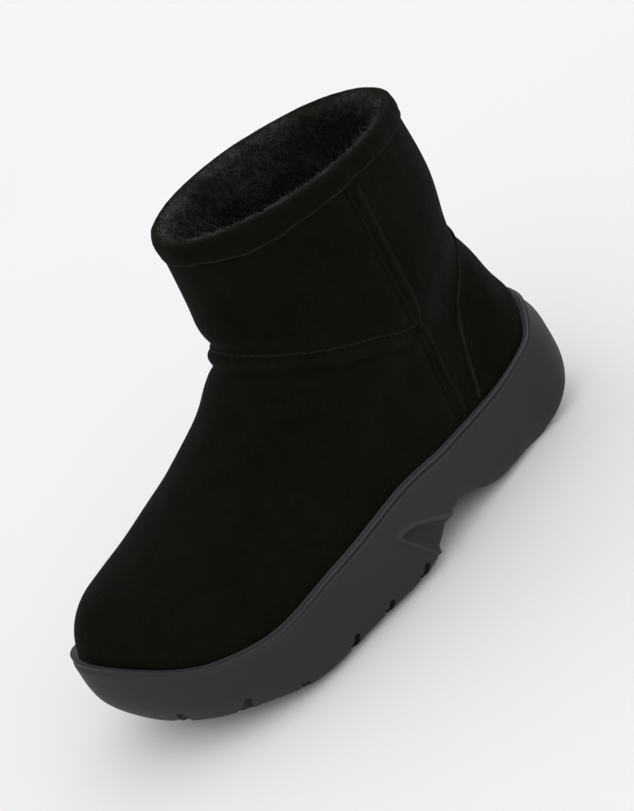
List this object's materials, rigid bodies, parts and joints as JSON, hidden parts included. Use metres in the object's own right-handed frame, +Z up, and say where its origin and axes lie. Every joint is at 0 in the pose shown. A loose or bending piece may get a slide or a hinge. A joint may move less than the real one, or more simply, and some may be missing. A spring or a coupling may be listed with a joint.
{
  "type": "sheepskin ankle boot",
  "caption": "Hollow fleece-lined suede ankle boot with a bound collar, taped side seams, a heel counter and a thick moulded rocker sole with an arch.",
  "frame": {"origin": "on the floor, at the bottom centre of the boot's box", "axes": "+X towards the toe, +Y towards the outer side of the foot, +Z up"},
  "size_m": [0.2842, 0.1066, 0.19],
  "materials": {
    "rubber": "matte moulded foam rubber",
    "suede": "black suede with a short soft nap",
    "suede_overlay": "black suede with a short soft nap",
    "binding": "folded black suede, slightly rubbed along its edge",
    "fleece": "black plush sheepskin fleece"
  },
  "bodies": {
    "root": {"sole": "rubber", "upper": "suede", "insole": "fleece", "heel_counter": "suede_overlay", "side_strip_lateral": "suede_overlay", "side_strip_medial": "suede_overlay", "ankle_seam_band": "suede_overlay", "collar_binding": "binding"}
  },
  "joints": []
}
